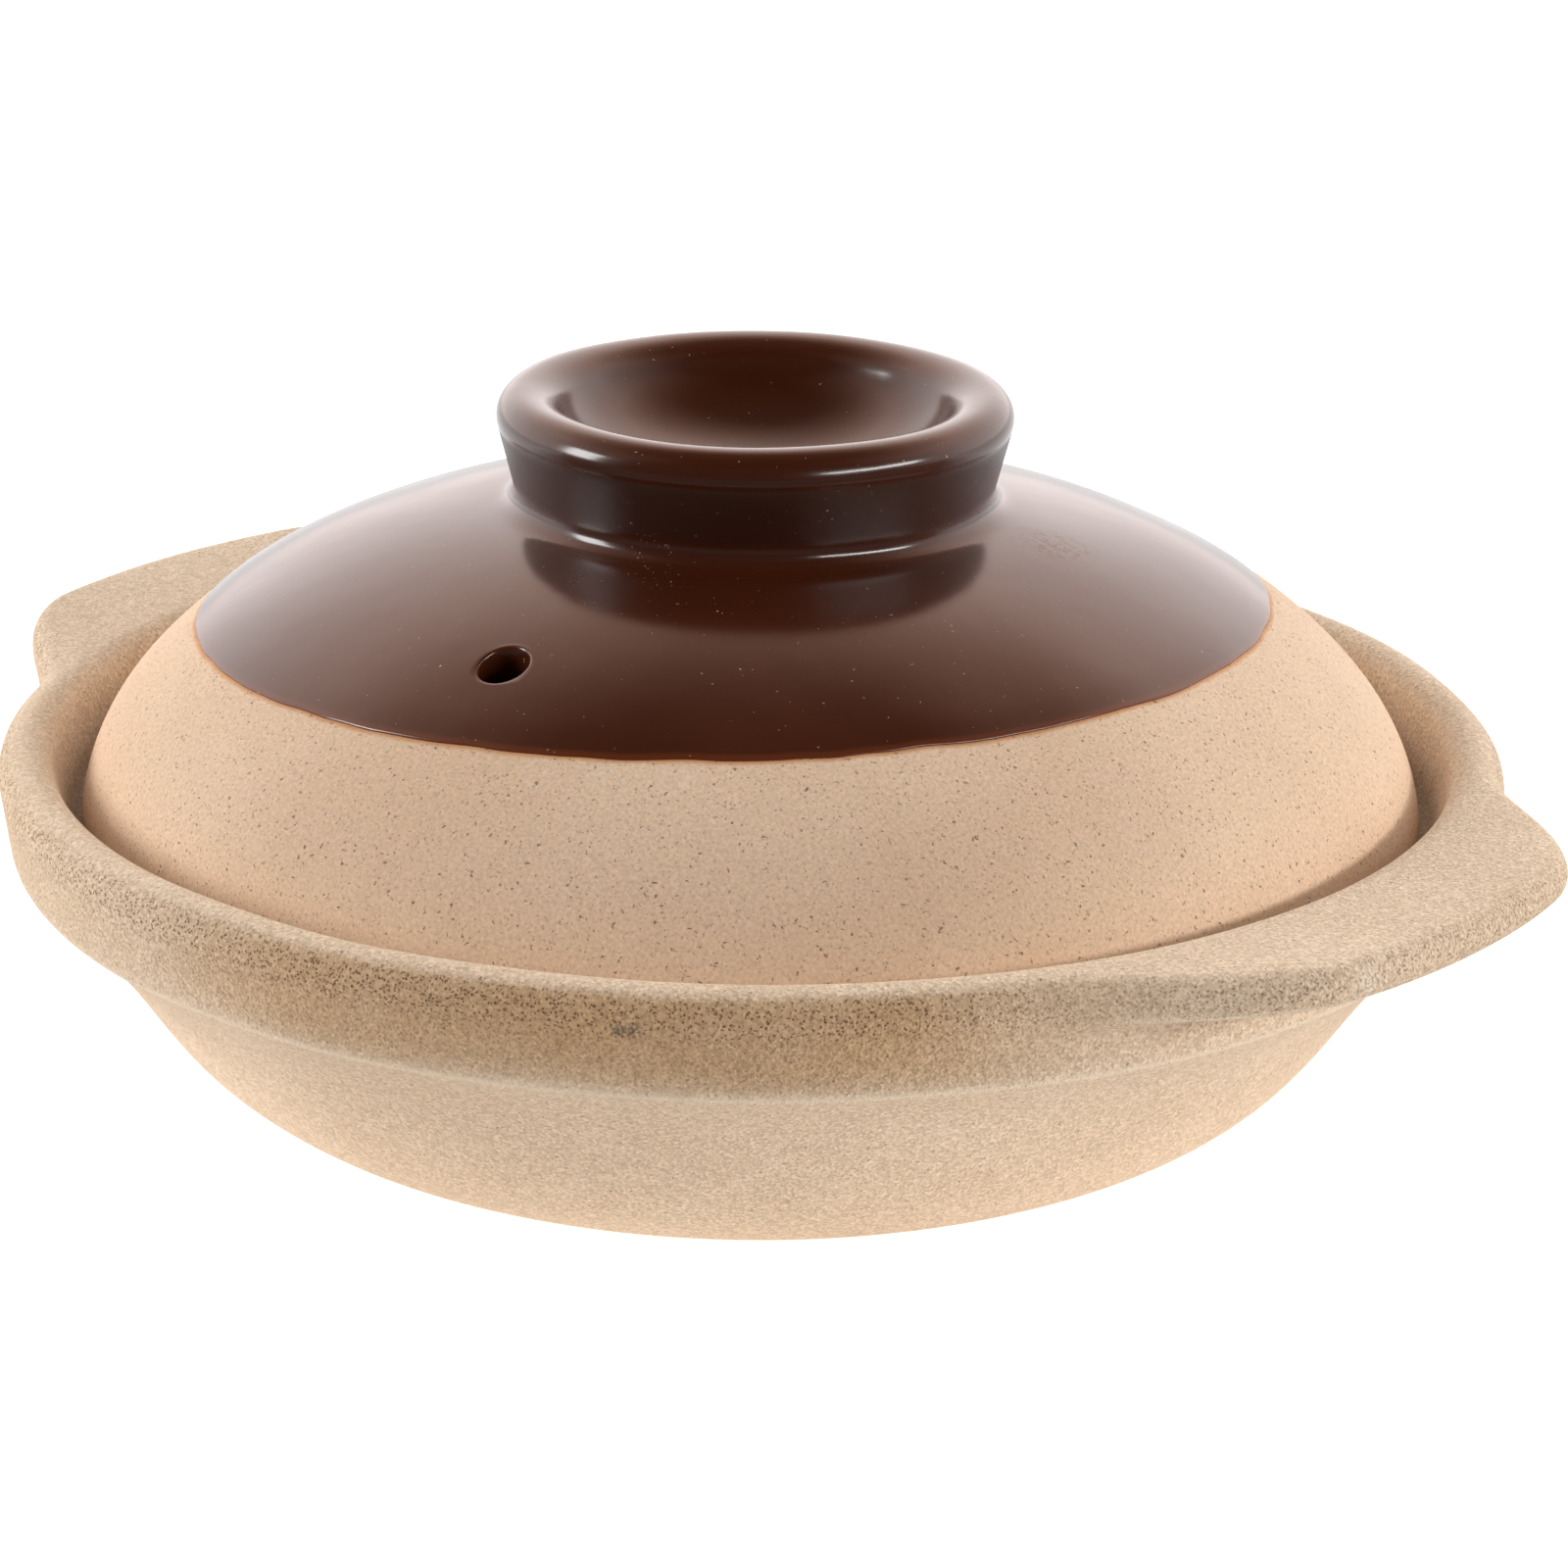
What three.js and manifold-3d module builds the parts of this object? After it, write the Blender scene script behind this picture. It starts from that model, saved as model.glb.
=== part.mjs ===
// A lidded earthenware cooking pot. The thrown pot has a flared bowl, an upright band and a rounded rim,
// and two lugs are pulled out of that rim on opposite sides. Inside the rim a ledge carries a domed lid
// with a dished ring knob and one steam hole. Brown glaze lines the pot and caps the lid; the rest is clay.
// Millimetres, +Z up, the lugs along X, the origin under the middle of the base.
import * as THREE from "three";
import { mergeVertices } from "three/addons/utils/BufferGeometryUtils.js";
import Module from "manifold-3d";

// Pot body: a flat base, a bowl that flares to the band, and a rounded lip on top of the band, which leans
// out a little from its lower edge to the rim.
const RIM_RADIUS = 110;
const LIP_RADIUS = 4.1;
const BAND_HEIGHT = 15;
const BAND_LEAN = 1.5;
const BOWL_HEIGHT = 40.2;
const BASE_RADIUS = 53;
const POT_WALL = 8;

// The bowl leaves the base and reaches the band along these lengths and slopes.
const BASE_SWEEP = 41.4;
const BASE_SLOPE = 7.3;
const FLARE_SWEEP = 28.6;
const FLARE_SLOPE = 34.2;

// Ledge inside the rim that carries the lid.
const LEDGE_DEPTH = 11.5;
const LEDGE_WIDTH = 9;
const LEDGE_ROUND = 1.5;
const GALLERY_LEAN = 2;

// Lugs: how far they stand out and rise, how thick they are at the tip, how much thicker at the band,
// and the half angles of their crest and root.
const LUG_REACH = 15.9;
const LUG_RISE = 1.45;
const LUG_THICKNESS = 6.5;
const LUG_ROOT_DROP = 1.5;
const LUG_CREST_ANGLE = 11;
const LUG_ROOT_ANGLE = 30.8;

// Lid, measured from the plane that it sits on.
const LID_PLAY = 1.6;
const SEAT_CLEARANCE = 0.3;
const LID_WALL = 6.5;
const LID_EDGE_ROUND = 1.5;
const DOME_HEIGHT = 48;
const DOME_SIDE_SWEEP = 28;
const DOME_SIDE_LEAN = 8.2;
const DOME_CROWN_SWEEP = 51.4;

// Knob: a ring foot that opens upward, with a rolled lip and a dish inside it. The lip is tighter outside
// its crest than inside, and the dish leaves it along this length and slope and turns flat in the middle.
const KNOB_HEIGHT = 16.55;
const KNOB_BASE_RADIUS = 33.6;
const KNOB_NECK_RADIUS = 36.6;
const KNOB_RADIUS = 36.9;
const KNOB_LIP_OUTER = 3.4;
const KNOB_LIP_INNER = 5;
const KNOB_LIP_DROP = 3.4;
const KNOB_FILLET = 3;
const KNOB_DISH_DEPTH = 14.25;
const KNOB_DISH_SWEEP = 7.5;
const KNOB_DISH_SLOPE = 67;
const KNOB_DISH_FLAT = 16;

// Steam hole through the lid, upright, at this distance from the axis and this angle from the +X lug.
const STEAM_HOLE_RADIUS = 3.5;
const STEAM_HOLE_OFFSET = 63.4;
const STEAM_HOLE_ANGLE = -82;

// Glaze: one thin fired coat over the crown of the lid and one inside the pot. The lid was dipped a little
// askew, so its glaze ends at a tilted plane, highest at this angle from the steam hole.
const GLAZE_THICKNESS = 0.4;
const GLAZE_GAP = 0.1;
const GLAZE_LINE_HEIGHT = 28.6;
const GLAZE_TILT = 2.3;
const GLAZE_TILT_ANGLE = 72;

// Facets around the pot and around the lid.
const POT_SEGMENTS = 72;
const LID_SEGMENTS = 48;

const bandEdgeRadius = RIM_RADIUS - BAND_LEAN;
const rimHeight = BOWL_HEIGHT + BAND_HEIGHT;
const lipCentre = new THREE.Vector2(RIM_RADIUS - LIP_RADIUS, rimHeight - LIP_RADIUS);
const ledgeHeight = rimHeight - LEDGE_DEPTH;
const galleryRadius = RIM_RADIUS - 2 * LIP_RADIUS - GALLERY_LEAN;
const ledgeInnerRadius = galleryRadius - LEDGE_WIDTH;
const lidRadius = galleryRadius - LID_PLAY;

const wasm = await Module();
wasm.setup();

const point = (radius, height) => new THREE.Vector2(radius, height);

// A step of that length in that direction of the profile plane.
function polar(length, degrees) {
  const radians = THREE.MathUtils.degToRad(degrees);
  return point(length * Math.cos(radians), length * Math.sin(radians));
}

// Points on a circle of the profile plane, from one angle to another.
function arc(centre, radius, fromDegrees, toDegrees, steps) {
  return Array.from({ length: steps + 1 }, (_, step) =>
    polar(radius, THREE.MathUtils.lerp(fromDegrees, toDegrees, step / steps)).add(centre));
}

// The profile shifted to its outer side (the right hand of its direction); points on the axis stay on it.
function offset(profile, distance) {
  return profile.map((here, index) => {
    const before = profile[Math.max(index - 1, 0)];
    const after = profile[Math.min(index + 1, profile.length - 1)];
    const along = after.clone().sub(before).normalize();
    return point(here.x === 0 ? 0 : here.x + along.y * distance, here.y - along.x * distance);
  });
}

// The point where a profile first crosses a given radius.
function crossing(profile, radius) {
  const side = (here) => Math.sign(here.x - radius);
  const index = profile.findIndex((here) => side(here) !== side(profile[0]));
  const [before, after] = [profile[index - 1], profile[index]];
  return before.clone().lerp(after, (radius - before.x) / (after.x - before.x));
}

// Outer curve of the bowl, from the edge of the base to the lower edge of the band.
function bowlCurve(steps) {
  const start = point(BASE_RADIUS, 0);
  const end = point(bandEdgeRadius, BOWL_HEIGHT);
  const leave = polar(BASE_SWEEP, BASE_SLOPE).add(start);
  const arrive = end.clone().sub(polar(FLARE_SWEEP, FLARE_SLOPE));
  return new THREE.CubicBezierCurve(start, leave, arrive, end).getPoints(steps);
}

// Inside of the pot, from the rounded edge of the ledge down to the middle of the floor.
function potLining() {
  const inside = offset([point(0, 0), ...bowlCurve(8)], -POT_WALL);
  const mouth = crossing(inside, ledgeInnerRadius);
  const wall = inside.filter((here) => here.x < ledgeInnerRadius).reverse();
  const edgeCentre = point(ledgeInnerRadius + LEDGE_ROUND, ledgeHeight - LEDGE_ROUND);
  return [...arc(edgeCentre, LEDGE_ROUND, 90, 180, 2), mouth, ...wall];
}

// Profile of the pot; pull is the share of the lug's reach by which each point moves out where a lug grows.
function potProfile() {
  const lugHeight = rimHeight - LUG_THICKNESS;
  const noseRound = lipCentre.y - lugHeight;
  const bandAt = (height) =>
    THREE.MathUtils.lerp(bandEdgeRadius, RIM_RADIUS, (height - BOWL_HEIGHT) / (lipCentre.y - BOWL_HEIGHT));
  const still = (profile) => profile.map((here) => ({ here, pull: 0 }));
  const rootHeight = lugHeight - LUG_ROOT_DROP;
  const root = point(bandAt(rootHeight), rootHeight);
  const nose = arc(point(0, 0), 1, -90, -30, 2).map((turn) => {
    const height = lipCentre.y + noseRound * turn.y;
    return { here: point(bandAt(height), height), pull: 1 - (noseRound / LUG_REACH) * (1 - turn.x) };
  });
  const lip = arc(lipCentre, LIP_RADIUS, 0, 90, 3).map((here, step) => ({ here, pull: step < 3 ? 1 : 0 }));
  const innerLip = arc(lipCentre, LIP_RADIUS, 120, 180, 2);
  const galleryFoot = arc(
    point(galleryRadius - LEDGE_ROUND, ledgeHeight + LEDGE_ROUND), LEDGE_ROUND, 0, -90, 2);
  return [
    ...still([point(0, 0), ...bowlCurve(8), root]),
    ...nose,
    ...lip,
    ...still([...innerLip, ...galleryFoot, ...potLining()]),
  ];
}

// Share of the lug's reach at an angle from the lug axis: full on the crest, fading smoothly to the root.
function lugShare(degreesFromAxis) {
  return 1 - THREE.MathUtils.smoothstep(degreesFromAxis, LUG_CREST_ANGLE, LUG_ROOT_ANGLE);
}

// The pot is revolved and then its rim is drawn out into the two lugs.
function potGeometry() {
  const profile = potProfile();
  const geometry = new THREE.LatheGeometry(profile.map(({ here }) => here), POT_SEGMENTS);
  const position = geometry.attributes.position;
  for (let index = 0; index < position.count; index += 1) {
    const { pull } = profile[index % profile.length];
    if (pull === 0) continue;
    const [x, height, z] = [position.getX(index), position.getY(index), position.getZ(index)];
    const share = pull * lugShare(THREE.MathUtils.radToDeg(Math.atan2(Math.abs(z), Math.abs(x))));
    const stretch = 1 + (share * LUG_REACH) / Math.hypot(x, z);
    position.setXYZ(index, x * stretch, height + share * LUG_RISE, z * stretch);
  }
  return geometry;
}

// A thin coat that follows a clay profile, from its open edge to the axis.
function coatProfile(clay) {
  return [...offset(clay, GLAZE_GAP).reverse(), ...offset(clay, GLAZE_GAP + GLAZE_THICKNESS)];
}

// Outer curve of the lid's dome, from its edge to the axis, as if it had no knob.
function domeCurve(steps) {
  const start = point(lidRadius, LID_EDGE_ROUND);
  const end = point(0, DOME_HEIGHT);
  const leave = polar(DOME_SIDE_SWEEP, 90 + DOME_SIDE_LEAN).add(start);
  const arrive = point(DOME_CROWN_SWEEP, DOME_HEIGHT);
  return new THREE.CubicBezierCurve(start, leave, arrive, end).getPoints(steps);
}

// Upper side of the lid: the dome from its edge, then the knob's foot, lip and dish.
function lidTop() {
  const dome = domeCurve(10);
  const foot = crossing(dome, KNOB_BASE_RADIUS);
  const filletStart = crossing(dome, KNOB_BASE_RADIUS + KNOB_FILLET);
  const lipTop = foot.y + KNOB_HEIGHT;
  const knobLip = point(KNOB_RADIUS - KNOB_LIP_OUTER, lipTop - KNOB_LIP_DROP);
  const neckTop = point(KNOB_NECK_RADIUS, knobLip.y - KNOB_LIP_DROP / 4);
  const lip = arc(point(0, 0), 1, 0, 160, 5).map((turn) =>
    turn.multiply(point(turn.x > 0 ? KNOB_LIP_OUTER : KNOB_LIP_INNER, KNOB_LIP_DROP)).add(knobLip));
  const filletEnd = foot.clone().add(neckTop.clone().sub(foot).setLength(KNOB_FILLET));
  const fillet = new THREE.QuadraticBezierCurve(filletStart, foot, filletEnd).getPoints(2);
  const dishEdge = lip.pop();
  const dishFloor = point(0, lipTop - KNOB_DISH_DEPTH);
  const dishWall = dishEdge.clone().sub(polar(KNOB_DISH_SWEEP, KNOB_DISH_SLOPE));
  const dish = new THREE.CubicBezierCurve(
    dishEdge, dishWall, point(KNOB_DISH_FLAT, dishFloor.y), dishFloor);
  return [
    ...dome.filter((here) => here.x > filletStart.x),
    ...fillet,
    neckTop,
    ...lip,
    ...dish.getPoints(4),
  ];
}

// Profile of the whole lid in clay: underside, seat, rounded edge and upper side.
function lidProfile() {
  const hollow = offset(domeCurve(10), -LID_WALL).filter((here) => here.y > 0);
  const edgeCentre = point(lidRadius - LID_EDGE_ROUND, LID_EDGE_ROUND);
  return [
    ...hollow.reverse(),
    point(lidRadius - LID_WALL, 0),
    ...arc(edgeCentre, LID_EDGE_ROUND, -90, -45, 1),
    ...lidTop(),
  ];
}

// A closed geometry as a solid that can be cut.
function solid(geometry) {
  const bare = new THREE.BufferGeometry();
  bare.setAttribute("position", geometry.attributes.position);
  bare.setIndex(geometry.index);
  const merged = mergeVertices(bare);
  const corners = merged.index.array;
  const triVerts = [];
  for (let first = 0; first < corners.length; first += 3) {
    const [a, b, c] = corners.slice(first, first + 3);
    if (a !== b && b !== c && c !== a) triVerts.push(a, b, c);
  }
  const mesh = new wasm.Mesh({
    numProp: 3,
    vertProperties: new Float32Array(merged.attributes.position.array),
    triVerts: new Uint32Array(triVerts),
  });
  return new wasm.Manifold(mesh);
}

function geometryOf(cut) {
  const { vertProperties, triVerts } = cut.getMesh();
  const geometry = new THREE.BufferGeometry();
  geometry.setAttribute("position", new THREE.BufferAttribute(vertProperties, 3));
  geometry.setIndex(new THREE.BufferAttribute(triVerts, 1));
  geometry.computeVertexNormals();
  return geometry;
}

// Revolved pieces of the lid turn about Y here; the steam hole goes through them along Y.
function lidSolid(profile) {
  const drill = new THREE.CylinderGeometry(STEAM_HOLE_RADIUS, STEAM_HOLE_RADIUS, 4 * DOME_HEIGHT, 24);
  drill.translate(STEAM_HOLE_OFFSET, 0, 0);
  return solid(new THREE.LatheGeometry(profile, LID_SEGMENTS)).subtract(solid(drill));
}

// The coat on the lid covers its upper side down to the tilted line where the dipping stopped.
function lidCoat() {
  const bareSide = 4 * lidRadius;
  const bare = new THREE.BoxGeometry(bareSide, bareSide, bareSide);
  bare.translate(0, -bareSide / 2, 0);
  bare.rotateZ(THREE.MathUtils.degToRad(GLAZE_TILT));
  bare.rotateY(THREE.MathUtils.degToRad(GLAZE_TILT_ANGLE));
  bare.translate(0, GLAZE_LINE_HEIGHT, 0);
  return lidSolid(coatProfile(lidTop())).subtract(solid(bare));
}

function piece(name, geometry, material) {
  const mesh = new THREE.Mesh(geometry, new THREE.MeshStandardMaterial({ metalness: 0, ...material }));
  mesh.name = name;
  mesh.rotation.x = Math.PI / 2;
  return mesh;
}

const sandyClay = { color: 0xc8a987, roughness: 0.9 };
const smoothClay = { color: 0xdcbc9a, roughness: 0.8 };
const brownGlaze = { color: 0x3a1a12, roughness: 0.15 };

const pot = new THREE.Group();
pot.add(
  piece("pot", potGeometry(), sandyClay),
  piece("pot_glaze", new THREE.LatheGeometry(coatProfile(potLining().slice(2)), POT_SEGMENTS), brownGlaze),
);

// The lid sits on the ledge, turned so that its steam hole lies to one side between the lugs.
const lid = new THREE.Group();
lid.position.z = ledgeHeight + SEAT_CLEARANCE;
lid.rotation.z = THREE.MathUtils.degToRad(STEAM_HOLE_ANGLE);
lid.add(
  piece("lid", geometryOf(lidSolid(lidProfile())), smoothClay),
  piece("lid_glaze", geometryOf(lidCoat()), brownGlaze),
);

const cookingPot = new THREE.Group();
cookingPot.add(pot, lid);

export default cookingPot;
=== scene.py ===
# %% [markdown]
# # A lidded clay cooking pot
# The real pot is thrown on a wheel, has two lugs pulled out of its rim and carries a domed lid whose
# crown is dipped in brown glaze. It could be sculpted by hand, but a thrown pot is a profile carried
# round an axis, so every piece here is worked out as such a surface with numpy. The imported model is
# loaded first: it is the frame that the finished pieces stand in for, and its box says how large they may
# be.

from math import comb

import bpy
import numpy as np
from mathutils import Matrix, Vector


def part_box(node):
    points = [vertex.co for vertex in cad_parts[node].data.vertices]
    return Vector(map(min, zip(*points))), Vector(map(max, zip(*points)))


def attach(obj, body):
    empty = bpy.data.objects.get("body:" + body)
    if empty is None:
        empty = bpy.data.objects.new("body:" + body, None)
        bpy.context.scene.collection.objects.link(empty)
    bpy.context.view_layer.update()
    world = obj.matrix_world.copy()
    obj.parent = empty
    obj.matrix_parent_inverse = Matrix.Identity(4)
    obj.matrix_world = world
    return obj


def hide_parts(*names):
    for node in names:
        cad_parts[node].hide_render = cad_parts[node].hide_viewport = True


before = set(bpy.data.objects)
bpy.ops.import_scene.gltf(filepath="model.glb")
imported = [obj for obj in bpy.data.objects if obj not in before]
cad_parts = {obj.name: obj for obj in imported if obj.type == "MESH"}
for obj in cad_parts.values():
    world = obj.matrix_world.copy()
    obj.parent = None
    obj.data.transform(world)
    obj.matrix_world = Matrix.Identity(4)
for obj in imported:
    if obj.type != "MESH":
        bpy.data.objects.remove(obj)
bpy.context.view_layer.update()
MM = 0.001

# %% [markdown]
# ## Curves for the wheel
# A profile is a list of points, radius first and height second, in millimetres. Curves and arcs give its
# parts. A potter's sponge then takes every hard corner off it, which a running mean along the line does
# as well, and at the end the points are spread so that bends get more of them than straight walls.


# %% Profile helpers
def bezier(corners, count=200):
    """Bézier curve: the corners blended with Bernstein weights of a share that runs from 0 to 1."""
    corners = np.asarray(corners, float)
    degree = len(corners) - 1
    share = np.linspace(0, 1, count)[:, None]
    weights = [comb(degree, k) * share**k * (1 - share) ** (degree - k) for k in range(degree + 1)]
    return sum(weight * corner for weight, corner in zip(weights, corners))


def arc(centre, radii, start, end, count=60):
    """Part of an ellipse: centre plus the two radii times cosine and sine of the turning angle."""
    turn = np.radians(np.linspace(start, end, count))
    return np.asarray(centre, float) + np.stack([np.cos(turn), np.sin(turn)], -1) * radii


def ray(length, degrees):
    """A step of that length in that direction of the profile plane."""
    return length * np.array([np.cos(np.radians(degrees)), np.sin(np.radians(degrees))])


def running_length(line):
    """Length along a line of points: the summed lengths of its chords, from 0."""
    return np.concatenate([[0], np.cumsum(np.linalg.norm(np.diff(line, axis=0), axis=1))])


def resample(line, at, along):
    """The line's columns interpolated at new places of a measure that grows along it."""
    return np.stack([np.interp(at, along, column) for column in line.T], -1)


def sponge(line, reach, step=0.1):
    """The line in small equal steps, each point the mean of its neighbours within reach; the ends stay."""
    along = running_length(line)
    fine = resample(line, np.linspace(0, along[-1], int(along[-1] / step) + 1), along)
    half = int(reach / step / 2)
    padded = np.pad(fine, ((half, half), (0, 0)), mode="reflect", reflect_type="odd")
    totals = np.cumsum(np.pad(padded, ((1, 0), (0, 0))), axis=0)
    return (totals[2 * half + 1:] - totals[: -2 * half - 1]) / (2 * half + 1)


def stations(line, spacing, turn):
    """Lengths along the line at equal steps of length over spacing plus turning angle over turn."""
    step = np.diff(line, axis=0)
    heading = np.unwrap(np.arctan2(step[:, 1], step[:, 0] + step[:, 2:].sum(1)))
    cost = np.linalg.norm(step, axis=1) / spacing
    cost[1:] += np.abs(np.diff(heading)) / np.radians(turn)
    along = np.concatenate([[0], np.cumsum(cost)])
    return np.interp(np.linspace(0, along[-1], int(np.ceil(along[-1])) + 1), along, running_length(line))


def spaced(line, spacing, turn):
    """The line's points at its stations."""
    return resample(line, stations(line, spacing, turn), running_length(line))


def outward(line):
    """Unit normals on the right hand of the line's direction: the central difference turned a quarter."""
    slope = np.gradient(line[:, :2], axis=0)
    normal = np.stack([slope[:, 1], -slope[:, 0]], -1)
    return normal / np.linalg.norm(normal, axis=1, keepdims=True)


def smoothstep(x, low, high):
    """0 below low, 1 above high, and the cubic 3t² - 2t³ of the share t between them."""
    share = np.clip((x - low) / (high - low), 0, 1)
    return share * share * (3 - 2 * share)


print("profile helpers ready")

# %% [markdown]
# ## From grid to mesh
# Rows of the grid follow the profile and columns go round the axis. Neighbouring rows make quads, and the
# last column joins the first, so there is no seam. Where the profile ends on the axis, a fan of triangles
# closes the pole. Rows run up the outside and down the inside, which turns all faces outwards.


# %% Mesh helpers
def round_axis(radius, height, angles):
    """Points round the axis: radius times cosine and sine of each angle, and the height."""
    return np.stack(np.broadcast_arrays(radius * np.cos(angles), radius * np.sin(angles), height), -1)


def ring_quads(rings):
    """Quads between neighbouring rings of vertex numbers, each ring closed on itself."""
    ahead = np.roll(rings, -1, axis=1)
    return np.stack([rings[:-1], ahead[:-1], ahead[1:], rings[1:]], -1)


def fans(rings, first, last):
    """Triangles from the first pole to the first ring and from the last ring to the last pole."""
    start, end = np.roll(rings[0], -1), np.roll(rings[-1], -1)
    opening = np.stack([np.full_like(start, first), start, rings[0]], -1)
    closing = np.stack([rings[-1], end, np.full_like(end, last)], -1)
    return np.concatenate([opening, closing])


def finish_piece(name, points, quads, triangles, node, body, marks):
    """One smooth mesh object from points in mm; unused points drop out and marks become attributes."""
    used, renumbered = np.unique(np.concatenate([quads.ravel(), triangles.ravel()]), return_inverse=True)
    quads = renumbered[: quads.size].reshape(-1, 4)
    triangles = renumbered[quads.size:].reshape(-1, 3)
    mesh = bpy.data.meshes.new(name)
    mesh.from_pydata((points[used] * MM).tolist(), [], quads.tolist() + triangles.tolist())
    mesh.polygons.foreach_set("use_smooth", np.ones(len(mesh.polygons), bool))
    for mark, values in marks.items():
        layer = mesh.attributes.new(mark, "FLOAT", "POINT")
        layer.data.foreach_set("value", values[used].astype(np.float32))
    piece = bpy.data.objects.new(name, mesh)
    bpy.context.scene.collection.objects.link(piece)
    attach(piece, body)
    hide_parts(node)
    low, high = np.array(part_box(node)) / MM
    made = points[used]
    print(name, "triangles", 2 * len(quads) + len(triangles), "size", (made.max(0) - made.min(0)).round(2),
          "solid", (high - low).round(2))
    return piece


def hand_made(places, seed, length, amount, count=14):
    """Gentle unevenness: seeded sine waves of about this length in many directions, summed to this amount."""
    chance = np.random.default_rng(seed)
    waves = chance.normal(size=(count, places.shape[-1]))
    size = np.linalg.norm(waves, axis=1)[:, None]
    waves *= (2 * np.pi / length) * chance.uniform(0.6, 1.5, (count, 1)) / size
    return amount * np.sin(places @ waves.T + chance.uniform(0, 2 * np.pi, count)).sum(-1) / np.sqrt(count)


print("mesh helpers ready")

# %% [markdown]
# ## The pot
# Bowl, band, rolled lip, ledge and floor are one wall of clay, so they are one closed profile. The lugs
# were pulled out of the soft rim: each point of the profile carries a third number, how far it comes out
# where a lug is, and a smooth share of the angle from the lug's axis brings it in. Modelling the lugs
# apart and joining them would leave a seam that the real pot doesn't have.

# %% Profile of the pot
RIM_RADIUS, RIM_HEIGHT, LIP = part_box("pot")[1].y / MM, 55.2, 4.1
CREASE = np.array([108.5, 40.2])
BASE = np.array([53.0, 0.0])
BASE_RISE, CREASE_RISE = ray(41.4, 7.3), ray(28.6, 34.2)
WALL = 8.0
LEDGE_HEIGHT, LEDGE_ROUND, LEDGE_INNER, GALLERY = 43.7, 1.5, 90.8, 99.8
LUG_REACH, LUG_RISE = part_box("pot")[1].x / MM - RIM_RADIUS, 1.45
LUG_UNDER, LUG_ROOT, LUG_ROLL = 48.7, 46.6, 62
LINING_SPONGE, POT_SPONGE = 14, 2.2
lip_centre = np.array([RIM_RADIUS - LIP, RIM_HEIGHT - LIP])
bowl = bezier([BASE, BASE + BASE_RISE, CREASE - CREASE_RISE, CREASE])


def still(line):
    """A stretch of the profile that no lug moves."""
    return np.column_stack([line, np.zeros(len(line))])


def band_points(reach, height):
    """Points of the band, which leans out evenly from crease to lip, that a lug takes out this far."""
    radius = np.interp(height, [CREASE[1], lip_centre[1]], [CREASE[0], RIM_RADIUS])
    return np.column_stack([radius, height, reach])


nose = lip_centre[1] - LUG_UNDER
turn = np.radians(np.linspace(-90, 0, 30))
nose_line = band_points(LUG_REACH - nose * (1 - np.cos(turn)), lip_centre[1] + nose * np.sin(turn))
roll = arc(lip_centre, LIP, 0, LUG_ROLL, 30)
lug_top = arc(lip_centre, LIP, LUG_ROLL, 90, 40)
lining = np.concatenate([[[0, 0]], bowl]) + np.r_[[[0, 1]], -outward(bowl)] * WALL
lining = sponge(lining[lining[:, 0] < LEDGE_INNER][::-1], LINING_SPONGE)
pot_line = np.concatenate([
    still([[0, 0]]), still(bowl), band_points(np.zeros(2), np.array([LUG_ROOT - 3, LUG_ROOT])), nose_line,
    np.column_stack([roll, np.full(len(roll), LUG_REACH)]),
    np.column_stack([lug_top, LUG_REACH * np.linspace(1, 0, len(lug_top))]),
    still(arc(lip_centre, LIP, 90, 180)),
    still(arc([GALLERY - LEDGE_ROUND, LEDGE_HEIGHT + LEDGE_ROUND], LEDGE_ROUND, 0, -90, 20)),
    still(arc([LEDGE_INNER + LEDGE_ROUND, LEDGE_HEIGHT - LEDGE_ROUND], LEDGE_ROUND, 90, 180, 20)),
    still(lining),
])
pot_fine = sponge(pot_line, POT_SPONGE)
pot_line = spaced(pot_fine, spacing=2.4, turn=12)
print("pot profile stations:", len(pot_line))

# %% [markdown]
# The profile now goes round the axis, with a column for every degree. A thrown pot is never quite round.
# A few slow waves move its wall by about a tenth of a millimetre, which shows in the way light runs over
# it.

# %% Surface of the pot
LUG_CREST, LUG_FADE = 11.0, 30.8
TYPICAL_RADIUS = 100
pot_angles = np.radians(np.arange(0, 360, 1.0))
from_lug = np.degrees(np.arctan2(np.abs(np.sin(pot_angles)), np.abs(np.cos(pot_angles))))
lug_share = 1 - smoothstep(from_lug, LUG_CREST, LUG_FADE)
radius, height, reach = pot_line[1:-1].T[:, :, None]
pot_radius = radius + reach * lug_share
pot_height = height + reach / LUG_REACH * LUG_RISE * lug_share


def thrown(points):
    """The pot's own unevenness: it widens and narrows by parts of a millimetre, but not at the base."""
    uneven = hand_made(points, seed=3, length=45, amount=0.12) * smoothstep(points[..., 2], 4, 14)
    return points * (1 + np.stack([uneven, uneven, 0 * uneven], -1) / TYPICAL_RADIUS)


pot_wall = thrown(round_axis(pot_radius, pot_height, pot_angles))
pot_poles = [[0, 0, pot_line[0, 1]], [0, 0, pot_line[-1, 1]]]
pot_points = np.concatenate([pot_wall.reshape(-1, 3), pot_poles])
pot_rings = np.arange(pot_radius.size).reshape(pot_radius.shape)
print("pot grid", pot_radius.shape)
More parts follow.
